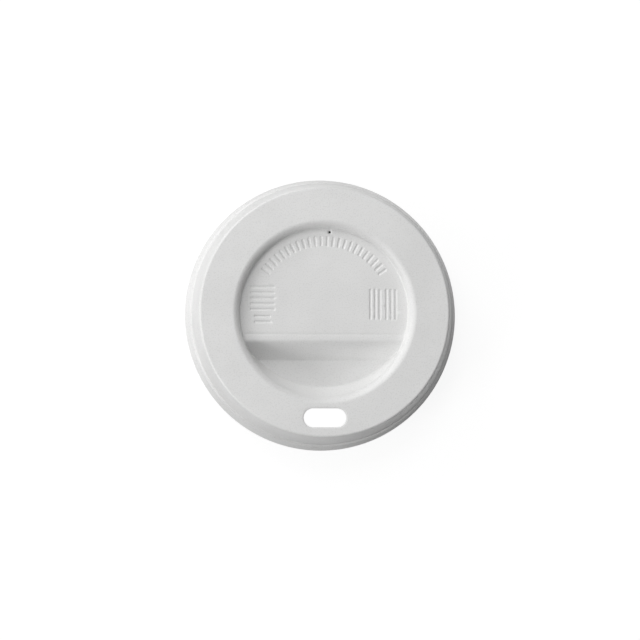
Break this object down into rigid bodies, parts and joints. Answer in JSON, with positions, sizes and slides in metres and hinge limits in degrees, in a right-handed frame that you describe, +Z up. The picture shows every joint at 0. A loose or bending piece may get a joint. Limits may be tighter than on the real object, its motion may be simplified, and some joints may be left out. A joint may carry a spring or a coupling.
{
  "type": "cup lid",
  "caption": "Round thin-walled sip-through lid for a takeaway cup, with a flat drinking rim, sunk well, front pocket, oval sip slot and vent.",
  "frame": {"origin": "centre of the flat base ring that the lid stands on", "axes": "+Z up through the drinking rim, -Y towards the sip slot, +Y towards the vent"},
  "size_m": [0.094, 0.094, 0.019],
  "materials": {
    "white_plastic": "satin"
  },
  "bodies": {
    "root": {"lid": "white_plastic"}
  },
  "joints": []
}
